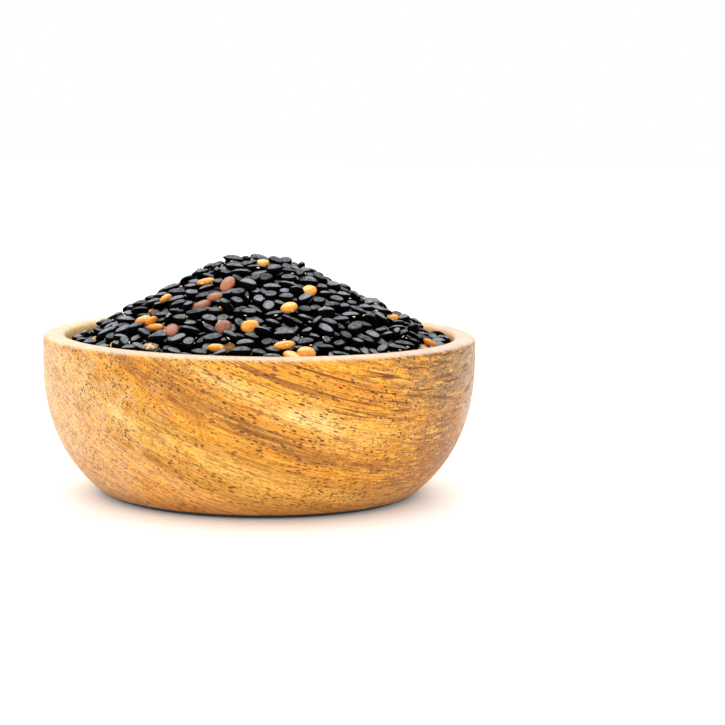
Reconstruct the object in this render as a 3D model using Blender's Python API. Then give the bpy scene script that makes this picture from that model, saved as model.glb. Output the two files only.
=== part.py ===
"""A small turned hardwood bowl, filled and heaped with dried black beans.

Two solids, in metres, +Z up, with the origin at the middle of the bowl's flat foot:
  bowl       one piece of wood, turned inside and out, with a thick softly crowned rim
  bean_heap  the beans as one heap: a core that fills the bowl, with the beans that show fused on
The front is -Y. Seen from there, the heap's tip lies a little left of the middle.
"""

import math

import bmesh
import bpy
import numpy as np
from mathutils import Matrix, Vector

MM = 0.001
MERGE_DISTANCE = 0.02 * MM

# Bowl, in millimetres. Its outside, its hollow and its rim are superellipses in section.
BOWL_RADIUS = 65.0
BOWL_HEIGHT = 48.2
BELLY_HEIGHT = 42.0
OUTSIDE_DROP = 53.6
OUTSIDE_POWER = 2.4
RIM_WIDTH = 6.7
RIM_CROWN = 3.2
RIM_POWER = 3.0
FLOOR_THICKNESS = 8.0
INSIDE_POWER = 2.8
BOWL_SEGMENTS = 48
OUTSIDE_STEPS = 7
OUTSIDE_CROWDING = 1.5
INSIDE_STEPS = 9
RIM_STEPS = 6

# Heap, in millimetres: a cone with a rounded tip, a little left of the middle and fuller on the right.
HEAP_HEIGHT = 71.9
HEAP_SLOPE = 0.57
HEAP_TIP_RADIUS = 12.0
HEAP_TIP_X = -1.3
HEAP_LEAN = 0.024
HEAP_WALL_GAP = 0.8
CORE_DEPTH = 2.2
CORE_SEGMENTS = 30
CORE_TOP_STEPS = 6
CORE_SIDE_STEPS = 6

# One bean, in millimetres: length, width and thickness, how much they vary, and its few-sided form.
BEAN_SIZE = (6.2, 4.4, 2.7)
BEAN_SPREAD = (0.09, 0.07, 0.08)
BEAN_SPREAD_MOST = 0.18
BEAN_SIDES = 6
BEAN_BLUNTNESS = 1.1
BEAN_RIDGE = 0.45
BEAN_SINK = 0.8
BEAN_WALL_CLEARANCE = 1.0

# How the beans are laid: on a height map, each where the heap is lowest under its skin.
SEED = 11
CELL = 0.5
REACH = 4.5
TRIES = 14
LEAST_GAP = 1.9
GAP_NOISE = 0.4
PROUD = 0.2
TUMBLE = 0.3
NUDGE = 1.0
GIVEN_UP = 1.0
BLOCKED = 1000.0


def clear_scene():
    for old in list(bpy.data.objects):
        bpy.data.objects.remove(old, do_unlink=True)


def material(name, colour, roughness):
    made = bpy.data.materials.new(name)
    made.use_nodes = True
    shader = made.node_tree.nodes["Principled BSDF"]
    shader.inputs["Base Color"].default_value = (*colour, 1.0)
    shader.inputs["Roughness"].default_value = roughness
    shader.inputs["Metallic"].default_value = 0.0
    return made


def add_object(name, mesh, finish):
    mesh.materials.append(finish)
    made = bpy.data.objects.new(name, mesh)
    bpy.context.scene.collection.objects.link(made)
    return made


def turned(name, profile, segments):
    """A closed mesh turned about Z from a half section that starts and ends on the axis."""
    work = bmesh.new()
    ring = [work.verts.new((radius * MM, 0.0, z * MM)) for radius, z in profile]
    edges = [work.edges.new(pair) for pair in zip(ring, ring[1:])]
    bmesh.ops.spin(
        work,
        geom=ring + edges,
        cent=(0, 0, 0),
        axis=(0, 0, 1),
        angle=2 * math.pi,
        steps=segments,
        use_merge=True,
    )
    bmesh.ops.remove_doubles(work, verts=work.verts, dist=MERGE_DISTANCE)
    bmesh.ops.recalc_face_normals(work, faces=work.faces)
    mesh = bpy.data.meshes.new(name)
    work.to_mesh(mesh)
    work.free()
    return mesh


def outside_radius(z):
    """The bowl's outer radius at height z. It is upright above the belly."""
    drop = max(0.0, BELLY_HEIGHT - z) / OUTSIDE_DROP
    return BOWL_RADIUS * (1.0 - drop**OUTSIDE_POWER) ** (1.0 / OUTSIDE_POWER)


def rim_base():
    return BOWL_HEIGHT - RIM_CROWN


def hollow_depth():
    return rim_base() - FLOOR_THICKNESS


def hollow_radius(z):
    """The hollow's radius at height z, from its floor up to the foot of the rim's crown."""
    drop = min(1.0, max(0.0, rim_base() - z) / hollow_depth())
    return (BOWL_RADIUS - RIM_WIDTH) * (1.0 - drop**INSIDE_POWER) ** (1.0 / INSIDE_POWER)


def hollow_height(radius):
    """The height of the hollow's surface at each of an array of radii."""
    share = np.clip(radius / (BOWL_RADIUS - RIM_WIDTH), 0.0, 1.0)
    drop = (1.0 - share**INSIDE_POWER) ** (1.0 / INSIDE_POWER)
    return rim_base() - hollow_depth() * drop


def bowl_profile():
    """The bowl's half section, from the middle of its foot round to the middle of its floor."""
    points = [(0.0, 0.0)]
    for step in range(OUTSIDE_STEPS):
        z = rim_base() * (step / OUTSIDE_STEPS) ** OUTSIDE_CROWDING
        points.append((outside_radius(z), z))
    middle = BOWL_RADIUS - RIM_WIDTH / 2
    for step in range(RIM_STEPS + 1):
        angle = math.pi * step / RIM_STEPS
        across = math.copysign(abs(math.cos(angle)) ** (2 / RIM_POWER), math.cos(angle))
        up = abs(math.sin(angle)) ** (2 / RIM_POWER)
        points.append((middle + across * RIM_WIDTH / 2, rim_base() + up * RIM_CROWN))
    for step in range(1, INSIDE_STEPS):
        z = rim_base() - hollow_depth() * math.sin(0.5 * math.pi * step / INSIDE_STEPS)
        points.append((hollow_radius(z), z))
    points.append((0.0, FLOOR_THICKNESS))
    return points


def make_bowl():
    finish = material("wood", (0.62, 0.33, 0.11), 0.42)
    bowl = add_object("bowl", turned("bowl", bowl_profile(), BOWL_SEGMENTS), finish)
    bowl.data.shade_smooth()
    bowl.data.set_sharp_from_angle(angle=math.radians(50))
    return bowl


def heap_skin(x, y):
    """The height of the heap's skin, the level that the tops of its beans reach."""
    away = np.hypot(np.hypot(x - HEAP_TIP_X, y), HEAP_TIP_RADIUS)
    return HEAP_HEIGHT - HEAP_SLOPE * (away - HEAP_TIP_RADIUS) + HEAP_LEAN * x


def heap_normal(x, y):
    """The way out of the heap's skin at a point."""
    fall = HEAP_SLOPE / math.hypot(x - HEAP_TIP_X, y, HEAP_TIP_RADIUS)
    normal = np.array([fall * (x - HEAP_TIP_X) - HEAP_LEAN, fall * y, 1.0])
    return normal / np.linalg.norm(normal)


def core_mesh():
    """The heap's core: it follows the hollow a small gap away, and lies CORE_DEPTH under the skin."""
    floor = FLOOR_THICKNESS + HEAP_WALL_GAP
    edge = heap_skin(BOWL_RADIUS - RIM_WIDTH, 0.0) - CORE_DEPTH
    profile = [(0.0, floor)]
    for step in range(1, CORE_SIDE_STEPS + 1):
        z = edge - (edge - floor) * math.cos(0.5 * math.pi * step / CORE_SIDE_STEPS)
        profile.append((hollow_radius(z - HEAP_WALL_GAP) - HEAP_WALL_GAP, z))
    wall_radius = profile[-1][0]
    for step in range(1, CORE_TOP_STEPS + 1):
        share = step / CORE_TOP_STEPS
        profile.append((wall_radius * (1.0 - share), edge + share))
    mesh = turned("core", profile, CORE_SEGMENTS)
    for vertex in mesh.vertices:
        x, y, z = vertex.co / MM
        if z < edge - MERGE_DISTANCE / MM:
            continue
        top = heap_skin(x, y) - CORE_DEPTH
        shrink = 1.0
        if z < edge + MERGE_DISTANCE / MM:
            shrink = (hollow_radius(top - HEAP_WALL_GAP) - HEAP_WALL_GAP) / wall_radius
        vertex.co = Vector((x * shrink, y * shrink, top)) * MM
    return mesh


def tried_turns(rng, normal):
    """Rotations to try for one bean, with its thin way near a normal and its long way anywhere round it."""
    thin = normal + rng.normal(0.0, TUMBLE, (TRIES, 3))
    thin /= np.linalg.norm(thin, axis=1, keepdims=True)
    heading = rng.uniform(0.0, 2 * math.pi, TRIES)
    guide = np.stack([np.cos(heading), np.sin(heading), np.zeros(TRIES)], axis=1)
    wide = np.cross(thin, guide)
    wide /= np.linalg.norm(wide, axis=1, keepdims=True)
    return np.stack([np.cross(wide, thin), wide, thin], axis=2)


def come_down(ground, across, along, turn, half):
    """The heights at which tried ellipsoids touch the ground, and their upper faces above their middles.

    across and along are the places of the ground's cells, seen from each one's middle.
    """
    shape = np.einsum("kij,kj,klj->kil", turn, 1.0 / half**2, turn)
    upright = shape[:, 2, 2, None]
    slant = shape[:, 0, 2, None] * across + shape[:, 1, 2, None] * along
    level = shape[:, 0, 0, None] * across**2 + shape[:, 1, 1, None] * along**2
    level += 2 * shape[:, 0, 1, None] * across * along
    inside = slant**2 - upright * (level - 1.0)
    root = np.sqrt(np.maximum(inside, 0.0))
    lower = np.where(inside > 0, (-slant - root) / upright, np.inf)
    upper = np.where(inside > 0, (-slant + root) / upright, -np.inf)
    return (ground - lower).max(axis=1), upper


def settled_beans():
    """The beans that show, as middle, rotation and half sizes, in millimetres.

    Each comes down where the heap is lowest under its skin, in the tried pose that lies lowest.
    """
    rng = np.random.default_rng(SEED)
    line = np.arange(-BOWL_RADIUS, BOWL_RADIUS + CELL, CELL)
    x, y = np.meshgrid(line, line, indexing="ij")
    radius = np.hypot(x, y)
    skin = heap_skin(x, y)
    ground = np.maximum(skin - CORE_DEPTH, hollow_height(radius + BEAN_WALL_CLEARANCE) + BEAN_SINK)
    ground[radius > BOWL_RADIUS - RIM_WIDTH - BEAN_WALL_CLEARANCE] = BLOCKED
    gap = skin - ground + rng.uniform(0.0, GAP_NOISE, x.shape)
    reach = round(REACH / CELL)
    skip = round(GIVEN_UP / CELL)
    beans = []
    while gap.max() >= LEAST_GAP:
        row, column = np.unravel_index(np.argmax(gap), gap.shape)
        patch = (slice(row - reach, row + reach + 1), slice(column - reach, column + reach + 1))
        spot = np.array([x[row, column], y[row, column]])
        turn = tried_turns(rng, heap_normal(*spot))
        spread = np.clip(rng.normal(0.0, BEAN_SPREAD, (TRIES, 3)), -BEAN_SPREAD_MOST, BEAN_SPREAD_MOST)
        half = np.array(BEAN_SIZE) / 2 * (1.0 + spread)
        middle = spot + rng.uniform(-NUDGE, NUDGE, (TRIES, 2))
        across = x[patch].ravel() - middle[:, 0, None]
        along = y[patch].ravel() - middle[:, 1, None]
        height, upper = come_down(ground[patch].ravel(), across, along, turn, half)
        height -= BEAN_SINK
        stands_out = (height[:, None] + upper - skin[patch].ravel()).max(axis=1) > PROUD
        over_skin = height - heap_skin(middle[:, 0], middle[:, 1])
        best = np.argmin(over_skin + BLOCKED * stands_out)
        if stands_out[best]:
            gap[row - skip : row + skip + 1, column - skip : column + skip + 1] = -1.0
            continue
        top = (height[best] + upper[best]).reshape(ground[patch].shape)
        ground[patch] = np.maximum(ground[patch], top)
        covered = np.isfinite(top) & (gap[patch] > 0)
        gap[patch] = np.where(covered, skin[patch] - ground[patch], gap[patch])
        beans.append((Vector((*middle[best], height[best])), Matrix(turn[best]), half[best]))
    return beans


def bean_mesh():
    """A bean of unit half sizes with few faces: blunt ends, a short ridge on top, a pointed underside."""
    work = bmesh.new()
    turns = [2 * math.pi * (side + 0.5) / BEAN_SIDES for side in range(BEAN_SIDES)]
    rim = [work.verts.new((BEAN_BLUNTNESS * math.cos(turn), math.sin(turn), 0.0)) for turn in turns]
    level = math.sqrt(1.0 - BEAN_RIDGE**2)
    ridge = [work.verts.new((end * BEAN_RIDGE, 0.0, level)) for end in (1, -1)]
    foot = work.verts.new((0.0, 0.0, -1.0))
    for here, after in zip(rim, rim[1:] + rim[:1]):
        near = ridge[0] if here.co.x + after.co.x > 0 else ridge[1]
        work.faces.new((here, after, near))
        work.faces.new((after, here, foot))
        if abs(after.co.x) < MERGE_DISTANCE:
            work.faces.new((after, ridge[0], ridge[1]))
    bmesh.ops.recalc_face_normals(work, faces=work.faces)
    mesh = bpy.data.meshes.new("bean")
    work.to_mesh(mesh)
    work.free()
    return mesh


def keep_outer_body(mesh):
    """Drops what fusing leaves over: the walls of sealed hollows and loose scraps."""
    work = bmesh.new()
    work.from_mesh(mesh)
    waiting = set(work.verts)
    bodies = []
    while waiting:
        body, edge = set(), [waiting.pop()]
        while edge:
            vertex = edge.pop()
            body.add(vertex)
            beside = {link.other_vert(vertex) for link in vertex.link_edges} & waiting
            waiting -= beside
            edge.extend(beside)
        bodies.append(body)
    largest = max(bodies, key=len)
    loose = [vertex for body in bodies if body is not largest for vertex in body]
    bmesh.ops.delete(work, geom=loose, context="VERTS")
    bmesh.ops.triangulate(work, faces=work.faces)
    work.to_mesh(mesh)
    work.free()


def make_heap():
    finish = material("black_bean", (0.03, 0.032, 0.036), 0.45)
    heap = add_object("bean_heap", core_mesh(), finish)
    pieces = bpy.data.collections.new("beans")
    bpy.context.scene.collection.children.link(pieces)
    shape = bean_mesh()
    for middle, turn, half in settled_beans():
        mesh = shape.copy()
        size = Matrix.Diagonal(Vector(half) * MM).to_4x4()
        mesh.transform(Matrix.Translation(middle * MM) @ turn.to_4x4() @ size)
        pieces.objects.link(bpy.data.objects.new("bean", mesh))
    fuse = heap.modifiers.new("fuse beans", "BOOLEAN")
    fuse.operation = "UNION"
    fuse.operand_type = "COLLECTION"
    fuse.collection = pieces
    fuse.solver = "MANIFOLD"
    graph = bpy.context.evaluated_depsgraph_get()
    fused = bpy.data.meshes.new_from_object(heap.evaluated_get(graph))
    heap.modifiers.clear()
    heap.data = fused
    for bean in list(pieces.objects):
        bpy.data.objects.remove(bean, do_unlink=True)
    bpy.data.collections.remove(pieces)
    keep_outer_body(heap.data)
    return heap


def main():
    clear_scene()
    make_bowl()
    make_heap()


main()
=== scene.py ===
"""A turned wooden bowl heaped with dried black beans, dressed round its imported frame."""

import math

import bmesh
import bpy
import numpy as np
from mathutils import Matrix, Vector


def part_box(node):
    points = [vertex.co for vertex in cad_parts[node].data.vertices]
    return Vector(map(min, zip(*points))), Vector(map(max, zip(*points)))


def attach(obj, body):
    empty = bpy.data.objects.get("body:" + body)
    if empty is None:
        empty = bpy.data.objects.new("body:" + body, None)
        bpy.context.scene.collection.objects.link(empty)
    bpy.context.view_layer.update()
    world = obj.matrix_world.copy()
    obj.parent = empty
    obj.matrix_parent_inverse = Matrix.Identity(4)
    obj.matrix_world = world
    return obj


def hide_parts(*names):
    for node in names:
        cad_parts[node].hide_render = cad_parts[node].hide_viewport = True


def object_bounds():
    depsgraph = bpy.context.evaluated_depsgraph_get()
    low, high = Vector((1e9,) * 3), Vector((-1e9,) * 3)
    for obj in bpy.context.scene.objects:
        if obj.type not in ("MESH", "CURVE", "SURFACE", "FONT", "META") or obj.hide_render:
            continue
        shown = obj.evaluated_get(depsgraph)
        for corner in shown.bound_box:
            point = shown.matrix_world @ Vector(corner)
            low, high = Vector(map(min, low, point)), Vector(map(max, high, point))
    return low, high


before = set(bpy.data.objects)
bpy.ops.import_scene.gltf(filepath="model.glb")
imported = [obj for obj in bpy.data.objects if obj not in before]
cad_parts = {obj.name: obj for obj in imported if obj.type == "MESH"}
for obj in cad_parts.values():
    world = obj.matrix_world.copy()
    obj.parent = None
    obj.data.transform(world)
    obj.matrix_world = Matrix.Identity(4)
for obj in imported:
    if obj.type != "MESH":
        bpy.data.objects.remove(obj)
cad_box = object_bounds()

# The bowl is turned from one block of open-pored hardwood and hollowed out, sanded and oiled.
# Its thick rim is softly rounded over, and it stands on a broad flat foot faced off underneath.
mm = 0.001
bowl_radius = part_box("bowl")[1].x
bowl_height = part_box("bowl")[1].z
belly_height = 42.0 * mm
outside_drop = 53.6 * mm
outside_power = 2.4
rim_width = 6.7 * mm
rim_crown = 3.2 * mm
rim_power = 3.6
floor_thickness = 8.0 * mm
inside_power = 2.8
foot_easing = 1.1 * mm
bowl_segments = 192
outside_steps = 26
rim_steps = 14
inside_steps = 24
ring_crowding = 1.3
last_ring_radius = 0.1 * mm

rim_base = bowl_height - rim_crown
hollow_mouth = bowl_radius - rim_width


def outside_radius(z):
    drop = max(0.0, belly_height - z) / outside_drop
    return bowl_radius * (1.0 - drop**outside_power) ** (1.0 / outside_power)


def hollow_radius(z):
    drop = min(1.0, max(0.0, rim_base - z) / (rim_base - floor_thickness))
    return hollow_mouth * (1.0 - drop**inside_power) ** (1.0 / inside_power)


def bowl_rings():
    """Radius and height of each ring of the bowl, from just above its foot over the rim to its floor."""
    for step in range(1, outside_steps + 1):
        z = foot_easing + (rim_base - foot_easing) * (step / outside_steps) ** ring_crowding
        yield outside_radius(z), z
    for step in range(1, rim_steps + 1):
        turn = math.pi * step / rim_steps
        across = math.copysign(abs(math.cos(turn)) ** (2 / rim_power), math.cos(turn))
        crown = abs(math.sin(turn)) ** (2 / rim_power) * rim_crown
        yield bowl_radius - rim_width / 2 * (1.0 - across), rim_base + crown
    for step in range(1, inside_steps):
        z = rim_base - (rim_base - floor_thickness) * math.sin(0.5 * math.pi * step / inside_steps)
        yield hollow_radius(z), z
    yield last_ring_radius, floor_thickness


def pull_up(rings, radius, z):
    """Extrudes the selected ring of edges through each of the radii and heights."""
    for next_radius, next_z in rings:
        bpy.ops.mesh.extrude_edges_move(TRANSFORM_OT_translate={"value": (0, 0, next_z - z)})
        share = next_radius / radius
        bpy.ops.transform.resize(value=(share, share, 1), center_override=(0, 0, next_z))
        radius, z = next_radius, next_z


merge_distance = 0.01 * mm


def finished(name):
    """Ends the edit of the active object with its doubles merged, its faces outward and its place kept."""
    bpy.ops.mesh.select_all(action="SELECT")
    bpy.ops.mesh.remove_doubles(threshold=merge_distance)
    bpy.ops.mesh.normals_make_consistent(inside=False)
    bpy.ops.object.mode_set(mode="OBJECT")
    bpy.ops.object.transform_apply(location=True, rotation=True, scale=True)
    bpy.ops.object.shade_smooth()
    piece = bpy.context.active_object
    piece.name = name
    return piece


# The foot's flat underside comes first. Its edge is eased by one ring between the flat and the outside.
foot_radius = outside_radius(0.0)
flat_radius = foot_radius - foot_easing
eased_ring = (foot_radius - 0.4 * foot_easing, 0.3 * foot_easing)
outside_start = (outside_radius(foot_easing), foot_easing)
bpy.ops.object.select_all(action="DESELECT")
bpy.ops.mesh.primitive_circle_add(vertices=bowl_segments, radius=flat_radius, fill_type="TRIFAN")
bpy.ops.object.mode_set(mode="EDIT")
bpy.ops.mesh.region_to_loop()
pull_up([eased_ring, outside_start, *bowl_rings()], flat_radius, 0.0)
bpy.ops.mesh.merge(type="CENTER")
bowl = finished("wooden_bowl")

# The wood's own frame: along its fibres, across them, and out through its growth layers.
fibre = Vector((1.0, 0.2, -0.36)).normalized()
layers = Vector((0.42, -0.29, 1.0))
layers = (layers - layers.project(fibre)).normalized()
grain_frame = Matrix((fibre, layers.cross(fibre), layers))
grain_turn = grain_frame.to_euler()
grain_back = grain_frame.transposed().to_euler()


def new_node(tree, kind, values=(), **settings):
    node = tree.nodes.new(kind)
    for name, value in settings.items():
        setattr(node, name, value)
    for socket, value in dict(values).items():
        if isinstance(value, bpy.types.NodeSocket):
            tree.links.new(value, node.inputs[socket])
        else:
            node.inputs[socket].default_value = value
    return node


def mapped(tree, vector, scale, location=(0, 0, 0), rotation=(0, 0, 0)):
    values = {"Vector": vector, "Scale": scale, "Location": location, "Rotation": rotation}
    return new_node(tree, "ShaderNodeMapping", values).outputs["Vector"]


def noise(tree, vector, scale, detail=2.0, roughness=0.5, location=(0, 0, 0)):
    placed = mapped(tree, vector, scale, location)
    values = {"Vector": placed, "Scale": 1.0, "Detail": detail, "Roughness": roughness}
    return new_node(tree, "ShaderNodeTexNoise", values).outputs["Fac"]


def spread(tree, value, low, high, to_low=0.0, to_high=1.0):
    values = {"Value": value, "From Min": low, "From Max": high, "To Min": to_low, "To Max": to_high}
    made = new_node(tree, "ShaderNodeMapRange", values, interpolation_type="SMOOTHSTEP")
    return made.outputs["Result"]


def worked(tree, operation, first, second=0.5):
    made = new_node(tree, "ShaderNodeMath", {0: first, 1: second}, operation=operation)
    return made.outputs["Value"]


def blended(tree, share, first, second, blend_type="MIX"):
    made = new_node(tree, "ShaderNodeMix", data_type="RGBA", blend_type=blend_type)
    for socket, value in ((0, share), (6, first), (7, second)):
        if isinstance(value, bpy.types.NodeSocket):
            tree.links.new(value, made.inputs[socket])
        else:
            made.inputs[socket].default_value = (*value, 1.0)
    return made.outputs[2]


def ramp(tree, value, low, high, stops):
    """A colour ramp through (value, colour) stops between low and high."""
    share = new_node(tree, "ShaderNodeMapRange", {"Value": value, "From Min": low, "From Max": high})
    made = new_node(tree, "ShaderNodeValToRGB", {"Fac": share.outputs["Result"]})
    while len(made.color_ramp.elements) < len(stops):
        made.color_ramp.elements.new(0.5)
    for element, (at, colour) in zip(made.color_ramp.elements, stops):
        element.position = (at - low) / (high - low)
        element.color = (*colour, 1.0)
    return made.outputs["Color"]


def new_material(name):
    made = bpy.data.materials.new(name)
    made.use_nodes = True
    return made, made.node_tree, made.node_tree.nodes["Principled BSDF"]


pale_cream = (1.0, 0.72, 0.27)
pink_cream = (0.97, 0.67, 0.41)
cream = (0.97, 0.55, 0.12)
salmon = (0.93, 0.46, 0.10)
honey = (0.93, 0.40, 0.025)
tan = (0.74, 0.32, 0.045)
amber = (0.72, 0.26, 0.010)
olive = (0.56, 0.25, 0.022)
umber = (0.27, 0.08, 0.007)
dark_umber = (0.20, 0.055, 0.005)
russet = (0.38, 0.10, 0.005)
grey_brown = (0.27, 0.19, 0.10)
painted_grey_reflection = (0.80, 0.68, 0.55)
crown_highlight = (0.86, 0.72, 0.58)
grey_pore = (0.06, 0.035, 0.014)
red_pore = (0.085, 0.018, 0.004)
inner_wood = (1.0, 0.64, 0.27)
painted_contact_shadow = (0.006, 0.002, 0.001)

wood, tree, shader = new_material("oiled_hardwood")
place = new_node(tree, "ShaderNodeTexCoord").outputs["Object"]
grain = mapped(tree, place, (1 / mm,) * 3, rotation=grain_turn)

# Growth layers, bent by slow waves and fine ripples. Their depth in mm is least at the back left of the
# foot and most at the front right of the rim.
wave_height = 8.0
ripple_height = 6.0
wave = noise(tree, grain, (0.02, 0.04, 0.04), detail=3.0)
ripple = noise(tree, grain, (0.06, 0.25, 0.22), detail=3.0, roughness=0.6, location=(9, 4, 0))
depth = new_node(tree, "ShaderNodeSeparateXYZ", {"Vector": grain}).outputs["Z"]
for bend, bend_height in ((wave, wave_height), (ripple, ripple_height)):
    bent = worked(tree, "MULTIPLY", worked(tree, "SUBTRACT", bend), bend_height)
    depth = worked(tree, "ADD", depth, bent)
layer_stops = (
    (-40, tan),
    (-31, umber),
    (-24, honey),
    (-15, salmon),
    (-7, olive),
    (4, tan),
    (14, salmon),
    (22, olive),
    (27.5, cream),
    (33, olive),
    (37.5, honey),
    (42, umber),
    (45, amber),
    (50, cream),
    (54, honey),
    (59, amber),
    (64, honey),
    (75, tan),
)
colour = ramp(tree, depth, layer_stops[0][0], layer_stops[-1][0], layer_stops)
streaks = noise(tree, grain, (0.04, 0.3, 1.2), detail=4.0, roughness=0.65)
clouds = noise(tree, grain, (0.05, 0.14, 0.14), detail=4.0, roughness=0.6, location=(0, 5, 2))
colour = blended(tree, spread(tree, clouds, 0.4, 0.7, 0.05, 0.45), colour, honey)
edge_ripple = 2.0
edge_streaks = 2.4


def patch(centre, half):
    """A soft, ragged mask round one place on the wood, in mm, with half sizes in the grain's own frame."""
    values = {
        "Vector": place,
        "Location": Vector(centre) * mm,
        "Rotation": grain_back,
        "Scale": Vector(half) * mm,
    }
    made = new_node(tree, "ShaderNodeMapping", values, vector_type="TEXTURE")
    ragged = worked(tree, "MULTIPLY", worked(tree, "SUBTRACT", ripple), edge_ripple)
    streaked = worked(tree, "MULTIPLY", worked(tree, "SUBTRACT", streaks), edge_streaks)
    ragged = worked(tree, "ADD", ragged, streaked)
    away = new_node(tree, "ShaderNodeVectorMath", {0: made.outputs["Vector"]}, operation="LENGTH")
    return spread(tree, worked(tree, "ADD", away.outputs["Value"], ragged), 1.15, 0.25)


# Pale and dark places of this block of wood, and a few of painted light: centre, half sizes along the
# fibres, across them and through the layers, strength and tint.
for centre, half, strength, tint in (
    ((-19, -60, 43), (14, 30, 4.5), 0.6, umber),
    ((-9, -62, 35), (13, 30, 4), 0.5, olive),
    ((40, -47, 20), (17, 30, 9), 0.6, honey),
    ((60, -26, 20), (36, 50, 32), 0.6, umber),
    ((62, -30, 42), (34, 50, 20), 0.9, grey_brown),
    ((59, -22, 13), (30, 40, 14), 0.6, umber),
    # The pale grey patch at the far right is a painted grazing reflection.
    ((69, -10, 34), (30, 18, 22), 0.6, painted_grey_reflection),
    ((28, -57, 27), (15, 30, 8), 0.7, cream),
    # The pale left side is partly the wood's own tone and partly a painted grazing reflection.
    ((-60, -25, 28), (46, 50, 34), 0.65, pink_cream),
    ((2, -62, 28), (9, 30, 3), 1.0, umber),
    ((9, -61, 24), (9, 30, 2.6), 0.9, umber),
    ((20, -57, 18.8), (13, 30, 1.7), 0.9, umber),
    ((37, -48, 15.6), (15, 30, 1.9), 0.9, umber),
    # The pale patch on the left inner wall is painted light, where the wall lies in the shade of rim and
    # heap.
    ((-57, 6, 40), (20, 40, 10), 1.0, pale_cream),
    ((60, 0, 45), (20, 40, 7), 0.7, grey_brown),
    ((15, -61, 32), (12, 30, 3.2), 1.0, pale_cream),
    ((-5, -64, 41), (11, 30, 2.4), 0.9, pale_cream),
    ((39, -52, 30), (13, 30, 8), 0.5, honey),
    ((41, -48, 17), (12, 30, 3.5), 0.45, honey),
    ((8, -50, 5), (12, 30, 5), 0.5, cream),
):
    colour = blended(tree, worked(tree, "MULTIPLY", patch(centre, half), strength), colour, tint)

# Fine streaks along the fibres, thin dark lines between the layers, and open pores cut into short dashes.
colour = blended(tree, spread(tree, streaks, 0.5, 0.68, 0.0, 0.55), colour, cream)
colour = blended(tree, spread(tree, streaks, 0.5, 0.32, 0.0, 0.6), colour, umber)
flecks = noise(tree, grain, (0.10, 0.6, 1.9), detail=4.0, roughness=0.7, location=(4, 2, 6))
colour = blended(tree, spread(tree, flecks, 0.5, 0.66, 0.0, 0.4), colour, cream)
colour = blended(tree, spread(tree, flecks, 0.5, 0.36, 0.0, 0.5), colour, russet)
lines = noise(tree, grain, (0.02, 0.12, 1.3), detail=3.0, roughness=0.6, location=(2, 8, 0))
line_share = spread(tree, depth, 46.0, 60.0, 0.35, 1.0)
lines = worked(tree, "MULTIPLY", spread(tree, lines, 0.535, 0.61), line_share)
colour = blended(tree, lines, colour, dark_umber)
fibres = noise(tree, grain, (0.15, 3.0, 3.4), detail=3.0, roughness=0.7, location=(3, 0, 7))
colour = blended(tree, spread(tree, fibres, 0.40, 0.66, 0.0, 0.45), colour, olive, "MULTIPLY")


def pores(size, least, most, location):
    """A mask of scattered pores, each of its own width and strength, stretched along the fibres."""
    cells = mapped(tree, grain, size, location)
    made = new_node(tree, "ShaderNodeTexVoronoi", {"Vector": cells, "Scale": 1.0})
    draw = new_node(tree, "ShaderNodeSeparateColor", {"Color": made.outputs["Color"]})
    edge = spread(tree, draw.outputs["Red"], 0.1, 1.0, least, most)
    inner = worked(tree, "MULTIPLY", edge, 0.7)
    hole = spread(tree, made.outputs["Distance"], edge, inner)
    return worked(tree, "MULTIPLY", hole, spread(tree, draw.outputs["Green"], 0.1, 0.8, 0.3, 1.0))


crowd = spread(tree, noise(tree, grain, (0.035, 0.16, 0.16), location=(7, 1, 3)), 0.36, 0.6, 0.0, 1.0)
colour = blended(tree, worked(tree, "MULTIPLY", crowd, 0.2), colour, olive)
crowd = worked(tree, "MAXIMUM", crowd, patch((52, -38, 26), (24, 50, 15)))
crowd = spread(tree, crowd, 0.0, 1.0, 0.5, 1.0)
wide_pores = worked(tree, "MULTIPLY", pores((0.5, 1.7, 1.7), 0.2, 0.56, (0, 0, 0)), crowd)
fine_pores = worked(tree, "MULTIPLY", pores((0.8, 2.3, 2.3), 0.22, 0.46, (5, 3, 1)), 0.6)
across = new_node(tree, "ShaderNodeSeparateXYZ", {"Vector": place}).outputs["X"]
pore_tint = blended(tree, spread(tree, across, -25 * mm, 15 * mm), grey_pore, red_pore)
large_pores = worked(tree, "MULTIPLY", pores((0.33, 0.95, 0.95), 0.14, 0.36, (2, 6, 4)), crowd)
pore = worked(tree, "MAXIMUM", worked(tree, "MAXIMUM", wide_pores, fine_pores), large_pores)
colour = blended(tree, worked(tree, "MULTIPLY", pore, 0.95), colour, pore_tint)
upward = new_node(tree, "ShaderNodeSeparateXYZ", {"Vector": place}).outputs["Z"]

# Inside the rim the wood is paler, and its pores are partly filled.
flat = new_node(tree, "ShaderNodeVectorMath", {0: place, 1: (1.0, 1.0, 0.0)}, operation="MULTIPLY")
outward = new_node(tree, "ShaderNodeVectorMath", {0: flat.outputs["Vector"]}, operation="LENGTH")
outward = outward.outputs["Value"]
hollowed = spread(tree, outward, hollow_mouth + 0.9 * mm, hollow_mouth + 0.1 * mm, 0.0, 0.45)
hollowed = worked(tree, "MULTIPLY", hollowed, spread(tree, upward, 28 * mm, 34 * mm))
colour = blended(tree, hollowed, colour, inner_wood)
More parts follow.
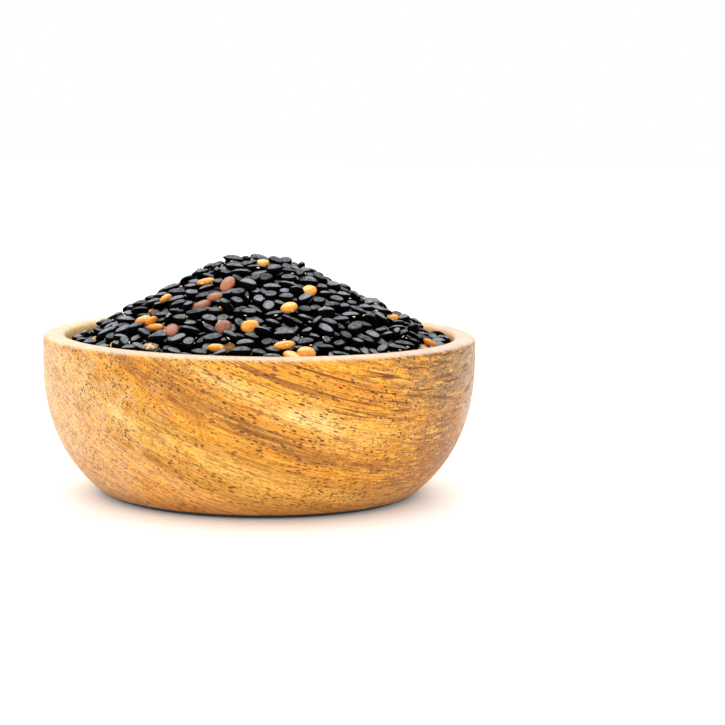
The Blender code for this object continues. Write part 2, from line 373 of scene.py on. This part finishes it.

# The rim's crown is painted pale as a highlight; the foot has painted shade and a painted contact shadow.
crown = spread(tree, upward, bowl_height - 1.3 * mm, bowl_height - 0.3 * mm, 0.0, 0.5)
colour = blended(tree, crown, colour, crown_highlight)
# Painted shade darkens the wood towards the foot, and a painted contact shadow runs along its lowest edge.
colour = blended(tree, spread(tree, upward, 8.0 * mm, 1.0 * mm, 0.0, 0.5), colour, umber)
colour = blended(tree, spread(tree, upward, 1.7 * mm, 1.2 * mm, 0.0, 0.98), colour, painted_contact_shadow)
tree.links.new(colour, shader.inputs["Base Color"])
shader.inputs["Specular IOR Level"].default_value = 0.25
shader.inputs["Coat Weight"].default_value = 0.05
shader.inputs["Coat Roughness"].default_value = 0.35
tree.links.new(spread(tree, fibres, 0.2, 0.8, 0.38, 0.52), shader.inputs["Roughness"])
height = worked(tree, "SUBTRACT", worked(tree, "MULTIPLY", fibres, 0.2), pore)
relief = new_node(tree, "ShaderNodeBump", {"Height": height, "Strength": 0.4, "Distance": 0.1 * mm})
tree.links.new(relief.outputs["Normal"], shader.inputs["Normal"])
bowl.data.materials.append(wood)
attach(bowl, "root")
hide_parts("bowl")

# The heap's core is the mass of beans that never shows: it fills the hollow just clear of the
# wall and rises to a cone, two or three beans under the heap's skin.
heap_height = 71.9 * mm
heap_slope = 0.58
heap_tip_radius = 12.0 * mm
heap_tip_x = -2.0 * mm
heap_lean = 0.032
core_depth = 5.6 * mm
core_gap = 0.8 * mm
core_start = 5 * mm
core_segments = 48
core_side_steps = 10
core_top_steps = 12


def heap_skin(x, y):
    """The height that the tops of the outermost beans reach."""
    away = np.hypot(np.hypot(x - heap_tip_x, y), heap_tip_radius)
    return heap_height - heap_slope * (away - heap_tip_radius) + heap_lean * x


core_floor = floor_thickness + core_gap


def core_rings():
    """Radius and height of each ring of the core, up the hollow's wall and in over its cone to the tip."""
    edge = float(heap_skin(hollow_mouth, 0.0)) - core_depth
    for step in range(1, core_side_steps + 1):
        z = edge - (edge - core_floor) * math.cos(0.5 * math.pi * step / core_side_steps)
        radius = hollow_radius(z - core_gap) - core_gap
        yield radius, z
    for step in range(1, core_top_steps):
        share = 1.0 - step / core_top_steps
        yield radius * share, float(heap_skin(radius * share, 0.0)) - core_depth
    yield last_ring_radius, heap_height - core_depth


bpy.ops.object.select_all(action="DESELECT")
bpy.ops.mesh.primitive_circle_add(
    vertices=core_segments, radius=core_start, fill_type="TRIFAN", location=(0, 0, core_floor)
)
bpy.ops.object.mode_set(mode="EDIT")
bpy.ops.mesh.region_to_loop()
pull_up(core_rings(), core_start, core_floor)
bpy.ops.mesh.merge(type="CENTER")
core = finished("heap_core")
core_skin, tree, shader = new_material("shaded_beans")
place = new_node(tree, "ShaderNodeTexCoord").outputs["Object"]
lumps = spread(tree, noise(tree, place, (300.0,) * 3), 0.3, 0.7)
deep_shade = blended(tree, lumps, (0.0015, 0.0015, 0.002), (0.004, 0.004, 0.005))
tree.links.new(deep_shade, shader.inputs["Base Color"])
shader.inputs["Roughness"].default_value = 0.9
shader.inputs["Specular IOR Level"].default_value = 0.05
core.data.materials.append(core_skin)
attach(core, "root")
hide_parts("bean_heap")

# The beans are small flat seeds with a thin dry skin, poured into the bowl and heaped by hand.
# Each lies where it came to rest on those below it, mostly on its flat side. The heap's height is kept
# on a grid of cells, and each bean comes down on it near its lowest cell.
bean_size = (6.2 * mm, 4.2 * mm, 2.3 * mm)
bean_spread = (0.08, 0.07, 0.09)
bean_spread_most = 0.17
cell = 0.4 * mm
longest_reach = 4.4 * mm
reach = round(longest_reach / cell)
tries = 16
skin_drop = 1.4 * mm
# Each stage: the gap under the skin at which it stops, how far a bean may stand proud, how far it tumbles.
stages = ((1.5 * mm, 0.2 * mm, 0.30), (2.1 * mm, 1.0 * mm, 0.5), (2.6 * mm, 1.4 * mm, 0.9))
gap_noise = 0.4 * mm
nudge = 1.0 * mm
wall_room = 2.5 * mm
wall_gap = 0.3 * mm
snug = 0.45 * mm
upright_share = 0.78
given_up = 1
top_room = 0.05 * mm
heap_top = cad_box[1].z - top_room
# A height above everything, for cells where no bean may lie.
blocked = 1.0
rng = np.random.default_rng(7)

line = np.arange(-bowl_radius, bowl_radius + cell, cell)
grid_x, grid_y = np.meshgrid(line, line, indexing="ij")
from_middle = np.hypot(grid_x, grid_y)
skin = heap_skin(grid_x, grid_y) - skin_drop
ground = skin + skin_drop - core_depth
ground[from_middle > hollow_mouth - wall_gap] = blocked
owner = np.full(ground.shape, -1)


def tried_turns(x, y, tumble):
    """Rotations to try for one bean: its thin way lies between upright and the way out of the heap."""
    fall = heap_slope / math.hypot(x - heap_tip_x, y, heap_tip_radius)
    out = np.array([fall * (x - heap_tip_x), fall * y, 1.0])
    out = upright_share * np.array([0.0, 0.0, 1.0]) + (1.0 - upright_share) * out / np.linalg.norm(out)
    thin = out + rng.normal(0.0, tumble, (tries, 3))
    thin /= np.linalg.norm(thin, axis=1, keepdims=True)
    heading = rng.uniform(0.0, 2 * math.pi, tries)
    guide = np.stack([np.cos(heading), np.sin(heading), np.zeros(tries)], axis=1)
    wide = np.cross(thin, guide)
    wide /= np.linalg.norm(wide, axis=1, keepdims=True)
    return np.stack([np.cross(wide, thin), wide, thin], axis=2)


def come_down(ground, across, along, turn, half):
    """The heights at which tried beans touch the ground, and their upper faces above their middles."""
    shape = np.einsum("kij,kj,klj->kil", turn, 1.0 / half**2, turn)
    upright = shape[:, 2, 2, None]
    slant = shape[:, 0, 2, None] * across + shape[:, 1, 2, None] * along
    level = shape[:, 0, 0, None] * across**2 + shape[:, 1, 1, None] * along**2
    level += 2 * shape[:, 0, 1, None] * across * along
    inside = slant**2 - upright * (level - 1.0)
    root = np.sqrt(np.maximum(inside, 0.0))
    lower = np.where(inside > 0, (-slant - root) / upright, np.inf)
    upper = np.where(inside > 0, (-slant + root) / upright, -np.inf)
    return (ground - lower).max(axis=1), upper


def laid_bean(row, column, proud, tumble):
    """Lays the lowest of several tried beans near a cell, or none where all stand too proud of the skin."""
    window = (slice(row - reach, row + reach + 1), slice(column - reach, column + reach + 1))
    spot = np.array([grid_x[row, column], grid_y[row, column]])
    spot *= min(1.0, (hollow_mouth - wall_room) / from_middle[row, column])
    turn = tried_turns(*spot, tumble)
    size_change = np.clip(rng.normal(0.0, bean_spread, (tries, 3)), -bean_spread_most, bean_spread_most)
    half = np.array(bean_size) / 2 * (1.0 + size_change)
    middle = spot + rng.uniform(-nudge, nudge, (tries, 2))
    across = grid_x[window].ravel() - middle[:, 0, None]
    along = grid_y[window].ravel() - middle[:, 1, None]
    level, upper = come_down(ground[window].ravel(), across, along, turn, half)
    level -= snug
    top = level[:, None] + upper
    over_skin = level + skin_drop - heap_skin(middle[:, 0], middle[:, 1])
    too_high = (over_skin > proud) | (top.max(axis=1) > heap_top)
    best = np.argmin(over_skin + blocked * too_high)
    if too_high[best]:
        return None
    top = top[best].reshape(ground[window].shape)
    owner[window] = np.where(top > ground[window], len(laid), owner[window])
    ground[window] = np.maximum(ground[window], top)
    covered = np.isfinite(top) & (gap[window] > 0)
    gap[window] = np.where(covered, skin[window] - ground[window], gap[window])
    return np.array([*middle[best], level[best]]), turn[best], half[best]


laid = []
for least_gap, proud, tumble in stages:
    gap = skin - ground + rng.uniform(0.0, gap_noise, skin.shape)
    while gap.max() >= least_gap:
        row, column = np.unravel_index(np.argmax(gap), gap.shape)
        bean = laid_bean(row, column, proud, tumble)
        if bean is None:
            rows = slice(row - given_up, row + given_up + 1)
            columns = slice(column - given_up, column + given_up + 1)
            gap[rows, columns] = -1.0
        else:
            laid.append(bean)

# The camera stands in front of the bowl and a little above it, and looks down at it with a slight roll.
camera_place = (31 * mm, -660 * mm, 122 * mm)
camera_pitch = math.radians(7.13)
camera_roll = math.radians(0.9)
camera_turn = Matrix.Rotation(math.pi / 2 - camera_pitch, 3, "X") @ Matrix.Rotation(camera_roll, 3, "Z")
focal_pixels = 2198.0
picture_pixels = 725.0


def picture_spot(across, down):
    """Where the sight through a spot of the picture meets the upright plane through the bowl's middle."""
    sight = camera_turn @ Vector((across - picture_pixels / 2, picture_pixels / 2 - down, -focal_pixels))
    spot = Vector(camera_place) - sight * (camera_place[1] / sight.y)
    return spot.x, spot.z


# The odd-coloured beans at the front are those seen nearest these spots, in picture pixels across and down.
# Out of the camera's sight they come at about the same rate by chance.
front_spots = {
    "tan": (
        (268, 264), (203, 280), (163, 295), (150, 311), (290, 303), (143, 323), (155, 325), (246, 320),
        (278, 341), (289, 345), (218, 350), (313, 354), (312, 293), (429, 340), (426, 347), (395, 314),
    ),
    "brown": ((225, 321), (168, 333), (202, 307), (224, 276), (218, 295)),
    "mottled": ((145, 340),),
}
chance = {"black": 0.93, "tan": 0.045, "brown": 0.025}
fully_seen = 0.035
hardly_seen = 0.003
part_hidden = 2.5 * mm
least_seen = 1e-9

# Walking away from the camera over the heap, a bean is seen by as much as it rises above all before it.
shown = np.where(ground < blocked, ground, bowl_height)
rise = np.maximum.accumulate((shown - camera_place[2]) / (grid_y - camera_place[1]), axis=1)
rise = np.diff(rise, axis=1, prepend=rise[:, :1])
shrink = camera_place[1] / (camera_place[1] - grid_y)
on_bean = owner >= 0


def summed_by_bean(values):
    return np.bincount(owner[on_bean], weights=values[on_bean], minlength=len(laid))


seen = summed_by_bean(rise)
seen_x, seen_z = (
    summed_by_bean(rise * (eye + (spot - eye) * shrink)) / np.maximum(seen, least_seen)
    for spot, eye in ((grid_x, camera_place[0]), (shown, camera_place[2]))
)
drawn_kinds = rng.choice(list(chance), len(laid), p=list(chance.values()))
kinds = [kind if share < hardly_seen else "black" for kind, share in zip(drawn_kinds, seen)]
unfit = blocked * (seen <= 0.0) + part_hidden * (1.0 - np.minimum(seen / fully_seen, 1.0))
for kind, spots in front_spots.items():
    for spot in spots:
        x, z = picture_spot(*spot)
        nearest = np.argmin(np.hypot(seen_x - x, seen_z - z) + unfit)
        kinds[nearest] = kind
        unfit[nearest] = blocked

bean_segments = 12
half_rings = ((0.88, 0.46), (0.56, 0.86), (0.02, 1.0))
drawn_out_past = 0.97
drawn_out_reach = 0.8


def modelled_bean(name, dent, point):
    """A flat bean of unit half sizes, dented where its long side was attached and drawn out at one end."""
    bpy.ops.object.select_all(action="DESELECT")
    bpy.ops.mesh.primitive_circle_add(vertices=bean_segments, radius=1.0, fill_type="NOTHING")
    form = bpy.context.active_object
    bpy.ops.object.mode_set(mode="EDIT")
    bpy.ops.mesh.select_all(action="SELECT")
    pull_up(half_rings, 1.0, 0.0)
    bpy.ops.mesh.merge(type="CENTER")
    bpy.ops.object.mode_set(mode="OBJECT")
    mirror = form.modifiers.new("other_side", "MIRROR")
    mirror.use_axis = (False, False, True)
    bpy.ops.object.modifier_apply(modifier="other_side")
    bpy.ops.object.mode_set(mode="EDIT")
    dented = (Vector((0, 1, 0)), Vector((0, -dent, 0)))
    pointed = (Vector((1, 0, 0)), Vector((point, 0, 0)))
    for side, move in (dented, pointed):
        bpy.ops.mesh.select_all(action="DESELECT")
        work = bmesh.from_edit_mesh(form.data)
        for vertex in work.verts:
            vertex.select = vertex.co.dot(side) > drawn_out_past
        work.select_flush(True)
        bpy.ops.transform.translate(
            value=move,
            use_proportional_edit=True,
            proportional_edit_falloff="SMOOTH",
            proportional_size=drawn_out_reach,
        )
    return finished(name)


bean_dents = (0.02, 0.08, 0.14, 0.22)
bean_points = (0.12, 0.0, 0.06, 0.0)
bean_forms = [
    modelled_bean(f"bean_form_{number}", dent, point)
    for number, (dent, point) in enumerate(zip(bean_dents, bean_points))
]


def gathered(name, copies, look):
    """One mesh of all the things of a kind, each a copy of its form at its place, with its own tone."""
    places, faces, tones = [], [], []
    count = 0
    for (middle, turn, half), form, tone in copies:
        corners = np.array([vertex.co for vertex in form.data.vertices])
        places.append(corners * half @ turn.T + middle)
        faces.extend([count + corner for corner in face.vertices] for face in form.data.polygons)
        tones.append(np.full(len(corners), tone))
        count += len(corners)
    mesh = bpy.data.meshes.new(name)
    mesh.from_pydata(np.concatenate(places).tolist(), [], faces)
    mesh.attributes.new("tone", "FLOAT", "POINT").data.foreach_set("value", np.concatenate(tones))
    mesh.shade_smooth()
    mesh.materials.append(look)
    piece = bpy.data.objects.new(name, mesh)
    bpy.context.scene.collection.objects.link(piece)
    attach(piece, "root")
    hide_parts("bean_heap")
    return piece


# A dry seed skin. Its colour runs from dark to light with the bean's own tone and a fine mottle, and the
# faces that lie upwards are painted paler, a painted sheen of the light from above, tinted warm on a few
# beans.
grey_top_sheen = (0.275, 0.288, 0.305)
warm_sheen = (1.0, 0.80, 0.77)
mottle_scale = 900.0
grit_scale = 2200.0
warm_draws = 7.0
seed_skin = bpy.data.node_groups.new("dry_seed_skin", "ShaderNodeTree")
for name, side, kind in (
    ("Dark", "INPUT", "NodeSocketColor"),
    ("Light", "INPUT", "NodeSocketColor"),
    ("Top Sheen", "INPUT", "NodeSocketColor"),
    ("Top Sheen Share", "INPUT", "NodeSocketFloat"),
    ("Mottling", "INPUT", "NodeSocketFloat"),
    ("Roughness", "INPUT", "NodeSocketFloat"),
    ("Color", "OUTPUT", "NodeSocketColor"),
    ("Roughness", "OUTPUT", "NodeSocketFloat"),
    ("Height", "OUTPUT", "NodeSocketFloat"),
):
    seed_skin.interface.new_socket(name=name, in_out=side, socket_type=kind)
given = new_node(seed_skin, "NodeGroupInput").outputs
place = new_node(seed_skin, "ShaderNodeTexCoord").outputs["Object"]
tone = new_node(seed_skin, "ShaderNodeAttribute", attribute_name="tone").outputs["Fac"]
mottle = spread(seed_skin, noise(seed_skin, place, (mottle_scale,) * 3, detail=3.0), 0.3, 0.7)
share = worked(seed_skin, "MULTIPLY", given["Mottling"], worked(seed_skin, "SUBTRACT", mottle, tone))
share = worked(seed_skin, "ADD", tone, share)
colour = blended(seed_skin, share, given["Dark"], given["Light"])
lie = new_node(seed_skin, "ShaderNodeNewGeometry").outputs["Normal"]
lie = new_node(seed_skin, "ShaderNodeSeparateXYZ", {"Vector": lie}).outputs["Z"]
# Painted sheen: faces that lie upwards are painted towards the sheen colour, as if lit from above.
top_sheen_share = worked(seed_skin, "MULTIPLY", spread(seed_skin, lie, 0.62, 0.73), given["Top Sheen Share"])
top_sheen_share = worked(seed_skin, "MULTIPLY", top_sheen_share, spread(seed_skin, share, 0.0, 1.0, 0.2, 1.0))
draw = worked(seed_skin, "FRACT", worked(seed_skin, "MULTIPLY", tone, warm_draws))
top_sheen = blended(seed_skin, spread(seed_skin, draw, 0.87, 0.97), given["Top Sheen"], warm_sheen, "MULTIPLY")
colour = blended(seed_skin, top_sheen_share, colour, top_sheen)
rough = worked(seed_skin, "ADD", given["Roughness"], spread(seed_skin, mottle, 0.0, 1.0, -0.06, 0.08))
grit = noise(seed_skin, place, (grit_scale,) * 3, detail=2.0)
new_node(seed_skin, "NodeGroupOutput", {"Color": colour, "Roughness": rough, "Height": grit})


def bean_skin(name, dark, light, roughness, shine, mottling=0.4, top_sheen=None):
    """A material with its own seed skin, without painted top sheen unless the sheen's colour is given."""
    made, tree, shader = new_material(name)
    values = {
        "Dark": (*dark, 1.0),
        "Light": (*light, 1.0),
        "Top Sheen": (*(top_sheen or light), 1.0),
        "Top Sheen Share": 1.0 if top_sheen else 0.0,
        "Mottling": mottling,
        "Roughness": roughness,
    }
    skin = new_node(tree, "ShaderNodeGroup", values, node_tree=seed_skin).outputs
    tree.links.new(skin["Color"], shader.inputs["Base Color"])
    tree.links.new(skin["Roughness"], shader.inputs["Roughness"])
    shader.inputs["Specular IOR Level"].default_value = shine
    values = {"Height": skin["Height"], "Strength": 0.3, "Distance": 0.1 * mm}
    relief = new_node(tree, "ShaderNodeBump", values)
    tree.links.new(relief.outputs["Normal"], shader.inputs["Normal"])
    return made


bean_looks = {
    "black": bean_skin(
        "black_bean_skin", (0.0006, 0.0006, 0.0008), (0.0018, 0.0018, 0.002), 0.42, 0.005, top_sheen=grey_top_sheen
    ),
    "tan": bean_skin(
        "tan_bean_skin", (0.60, 0.17, 0.008), (0.95, 0.40, 0.06), 0.42, 0.25, top_sheen=(1.0, 0.60, 0.24)
    ),
    "brown": bean_skin(
        "brown_bean_skin", (0.13, 0.055, 0.05), (0.52, 0.19, 0.09), 0.45, 0.2, top_sheen=(0.42, 0.24, 0.18)
    ),
    "mottled": bean_skin(
        "mottled_bean_skin", (0.03, 0.012, 0.006), (0.90, 0.62, 0.36), 0.5, 0.4, mottling=0.95
    ),
}
copies = {kind: [] for kind in bean_looks}
eyes = []
eye_half = np.array((0.58, 0.23, 0.18)) * mm
eye_sunk = 0.09 * mm
eye_share = 0.55
for kind, (middle, turn, half) in zip(kinds, laid):
    draw = rng.random()
    form = int(rng.integers(len(bean_forms)))
    copies[kind].append(((middle, turn, half), bean_forms[form], draw))
    side = half[1] * (1.0 - bean_dents[form]) - eye_sunk
    if rng.random() < eye_share:
        eyes.append(((middle + turn @ (0.0, side, 0.0), turn, eye_half), draw))
for kind, kind_copies in copies.items():
    gathered(f"{kind}_beans", kind_copies, bean_looks[kind])

# A bean's eye is the small raised cream scar at the middle of the side where it was attached.
# A little over half of the beans show one. It is dry skin like the rest, without the painted sheen.
bpy.ops.object.select_all(action="DESELECT")
bpy.ops.mesh.primitive_uv_sphere_add(segments=8, ring_count=4, radius=1.0)
bpy.ops.object.mode_set(mode="EDIT")
eye_form = finished("eye_form")
eye_skin = bean_skin("bean_eye_skin", (0.88, 0.74, 0.5), (1.0, 0.95, 0.8), 0.6, 0.3)
gathered("bean_eyes", [(eye, eye_form, draw) for eye, draw in eyes], eye_skin)
for form in [*bean_forms, eye_form]:
    bpy.data.objects.remove(form, do_unlink=True)

# The table is a plain pale sheet, nearly matt, that lies flat under the foot and runs out of sight.
# It glows faintly, so that it stays pale where the bowl stands.
table_half = 3.0
bpy.ops.object.select_all(action="DESELECT")
bpy.ops.mesh.primitive_circle_add(vertices=96, radius=table_half, fill_type="TRIFAN", location=(0, 0, 0))
table = bpy.context.active_object
table.name = "pale_table"
paper, tree, shader = new_material("pale_table")
shader.inputs["Base Color"].default_value = (0.93, 0.94, 0.93, 1.0)
shader.inputs["Roughness"].default_value = 0.6
shader.inputs["Emission Color"].default_value = (1.0, 0.93, 0.84, 1.0)
shader.inputs["Emission Strength"].default_value = 0.09
table.data.materials.append(paper)

# The light is a soft white tent, bright above and behind the bowl. Weaker light comes from all round, a
# little more from the left and most from the front. The picture's own background is plain white.
world = bpy.data.worlds.new("soft_tent")
bpy.context.scene.world = world
world.use_nodes = True
tree = world.node_tree
ray = new_node(tree, "ShaderNodeLightPath").outputs["Is Camera Ray"]
facing = new_node(tree, "ShaderNodeTexCoord").outputs["Generated"]
facing = new_node(tree, "ShaderNodeSeparateXYZ", {"Vector": facing})
tent_strength = 2.4
over = worked(tree, "ADD", worked(tree, "MULTIPLY", facing.outputs["Y"], 0.6), facing.outputs["Z"])
over = worked(tree, "SUBTRACT", over, worked(tree, "MULTIPLY", facing.outputs["X"], 0.10))
lift = spread(tree, facing.outputs["Z"], 0.0, 0.6, 0.5, 1.0)
tent = worked(tree, "MULTIPLY", spread(tree, over, 0.25, 0.7), lift)
room = worked(
    tree,
    "ADD",
    spread(tree, facing.outputs["X"], -1.0, 1.0, 0.40, 0.24),
    spread(tree, facing.outputs["Y"], -0.2, -1.0, 0.0, 0.74),
)
tent = worked(tree, "MAXIMUM", tent, room)
lit = new_node(tree, "ShaderNodeBackground", {"Strength": worked(tree, "MULTIPLY", tent, tent_strength)})
white = new_node(tree, "ShaderNodeBackground", {"Color": (1, 1, 1, 1), "Strength": 1.0})
both = new_node(tree, "ShaderNodeMixShader", {0: ray, 1: lit.outputs[0], 2: white.outputs[0]})
tree.links.new(both.outputs[0], tree.nodes["World Output"].inputs["Surface"])

# The camera sees the bowl left of the middle of its square picture. Its place, turn and focal length are
# those that the odd-coloured beans were chosen with.
camera_data = bpy.data.cameras.new("camera")
camera_data.sensor_width = 36.0
camera_data.lens = focal_pixels / picture_pixels * camera_data.sensor_width
camera = bpy.data.objects.new("camera", camera_data)
camera.location = camera_place
camera.rotation_euler = camera_turn.to_euler()
bpy.context.scene.collection.objects.link(camera)
bpy.context.scene.camera = camera
bpy.context.scene.view_settings.view_transform = "Standard"
